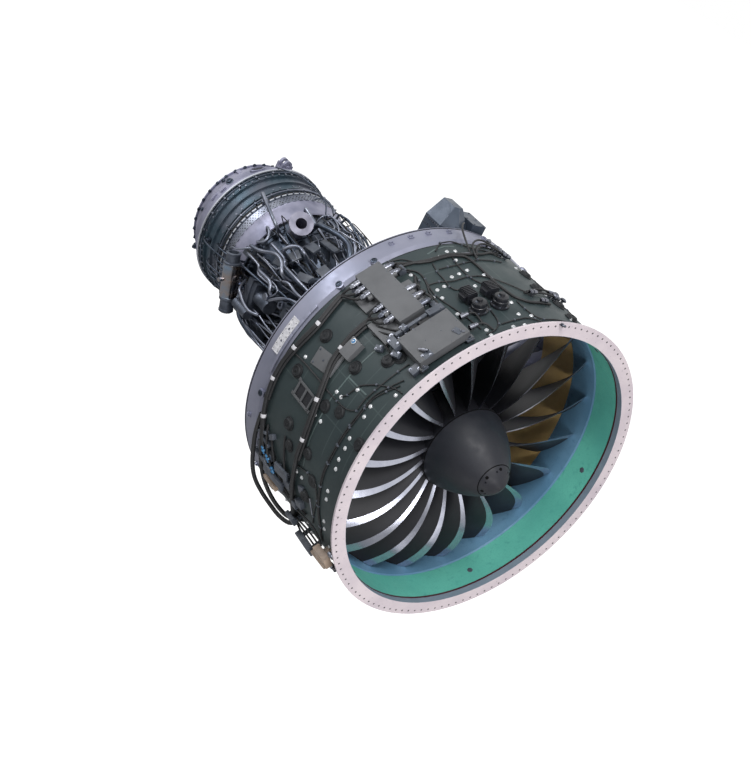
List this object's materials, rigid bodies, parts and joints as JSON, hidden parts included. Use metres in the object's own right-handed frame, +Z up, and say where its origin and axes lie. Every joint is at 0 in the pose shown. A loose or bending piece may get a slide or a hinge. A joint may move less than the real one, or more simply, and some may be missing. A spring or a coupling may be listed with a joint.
{
  "type": "jet engine",
  "caption": "Geared turbofan jet engine with a wide bladed fan in a flanged case, guide vanes, and a slim bare core with its pipes and accessories.",
  "frame": {"origin": "centre of the front flange's face, on the engine axis", "axes": "+Y runs aft along the engine axis, +Z is up towards the mounts, and +X is to the right as seen from the intake"},
  "size_m": [2.26, 3.4, 2.3198],
  "materials": {
    "flange_paint": "satin pale primer",
    "case_skin": "satin dark green-grey composite",
    "liner_face": "matte green perforated lining",
    "rub_face": "matte blue abradable lining",
    "silver_case": "satin silver paint",
    "blade_skin": "satin dark coating",
    "rotor_steel": "machined",
    "spinner_paint": "satin dark paint",
    "vane_metal": "satin",
    "frame_metal": "cast",
    "core_steel": "heat-tinted",
    "hot_metal": "heat-tinted lilac",
    "gear_steel": "ground",
    "box_paint": "satin grey",
    "black_cable": "matte",
    "pad_rubber": "matte",
    "valve_black": "satin",
    "gearbox_cast": "cast",
    "tank_polish": "polished",
    "pipe_steel": "drawn tube"
  },
  "bodies": {
    "static_frame": {"inlet_flange": "flange_paint", "fan_case": "case_skin", "acoustic_liner": "liner_face", "rub_strip": "rub_face", "rear_fan_case": "silver_case", "guide_vanes": "vane_metal", "front_frame": "frame_metal", "gear_carrier": "gear_steel", "booster_case": "core_steel", "intermediate_case": "frame_metal", "compressor_case": "core_steel", "diffuser_case": "core_steel", "combustor_liner": "hot_metal", "turbine_case": "core_steel", "exhaust_case": "hot_metal", "shaft_bearings": "gear_steel", "accessory_gearbox": "gearbox_cast", "oil_tank": "tank_polish", "bleed_duct": "frame_metal", "core_pipes": "pipe_steel", "control_unit": "box_paint", "sensor_unit": "box_paint", "case_harness": "black_cable", "case_pads": "pad_rubber", "case_valves": "valve_black", "top_fairing": "box_paint"},
    "fan_rotor": {"fan_blade_01": "blade_skin", "fan_blade_02": "blade_skin", "fan_blade_03": "blade_skin", "fan_blade_04": "blade_skin", "fan_blade_05": "blade_skin", "fan_blade_06": "blade_skin", "fan_blade_07": "blade_skin", "fan_blade_08": "blade_skin", "fan_blade_09": "blade_skin", "fan_blade_10": "blade_skin", "fan_blade_11": "blade_skin", "fan_blade_12": "blade_skin", "fan_blade_13": "blade_skin", "fan_blade_14": "blade_skin", "fan_blade_15": "blade_skin", "fan_blade_16": "blade_skin", "fan_blade_17": "blade_skin", "fan_blade_18": "blade_skin", "fan_blade_19": "blade_skin", "fan_blade_20": "blade_skin", "fan_hub": "rotor_steel", "spinner": "spinner_paint", "nose_cap": "spinner_paint", "fan_shaft": "gear_steel"},
    "low_spool": {"low_shaft": "gear_steel", "booster_rotor": "rotor_steel", "low_turbine_rotor": "rotor_steel"},
    "high_spool": {"high_compressor_rotor": "rotor_steel", "high_turbine_rotor": "rotor_steel"},
    "star_1": {"star_gear_1": "gear_steel"},
    "star_2": {"star_gear_2": "gear_steel"},
    "star_3": {"star_gear_3": "gear_steel"},
    "star_4": {"star_gear_4": "gear_steel"},
    "star_5": {"star_gear_5": "gear_steel"}
  },
  "joints": [
    {"name": "fan_spin", "type": "hinge", "parent": "static_frame", "child": "fan_rotor", "pos_m": [0, 0.6, 0], "axis": [0, 1, 0], "continuous": true},
    {"name": "low_spin", "type": "hinge", "parent": "static_frame", "child": "low_spool", "pos_m": [0, 1.9, 0], "axis": [0, 1, 0], "continuous": true},
    {"name": "high_spin", "type": "hinge", "parent": "static_frame", "child": "high_spool", "pos_m": [0, 1.9, 0], "axis": [0, 1, 0], "continuous": true},
    {"name": "star_1_spin", "type": "hinge", "parent": "static_frame", "child": "star_1", "pos_m": [0, 0.72, 0.15], "axis": [0, 1, 0], "continuous": true},
    {"name": "star_2_spin", "type": "hinge", "parent": "static_frame", "child": "star_2", "pos_m": [-0.14266, 0.72, 0.04635], "axis": [0, 1, 0], "continuous": true},
    {"name": "star_3_spin", "type": "hinge", "parent": "static_frame", "child": "star_3", "pos_m": [-0.08817, 0.72, -0.12135], "axis": [0, 1, 0], "continuous": true},
    {"name": "star_4_spin", "type": "hinge", "parent": "static_frame", "child": "star_4", "pos_m": [0.08817, 0.72, -0.12135], "axis": [0, 1, 0], "continuous": true},
    {"name": "star_5_spin", "type": "hinge", "parent": "static_frame", "child": "star_5", "pos_m": [0.14266, 0.72, 0.04635], "axis": [0, 1, 0], "continuous": true}
  ],
  "couplings": [
    {"joint": "low_spin", "follows": "fan_spin", "ratio": -3},
    {"joint": "star_1_spin", "follows": "fan_spin", "ratio": 3},
    {"joint": "star_2_spin", "follows": "fan_spin", "ratio": 3},
    {"joint": "star_3_spin", "follows": "fan_spin", "ratio": 3},
    {"joint": "star_4_spin", "follows": "fan_spin", "ratio": 3},
    {"joint": "star_5_spin", "follows": "fan_spin", "ratio": 3}
  ]
}
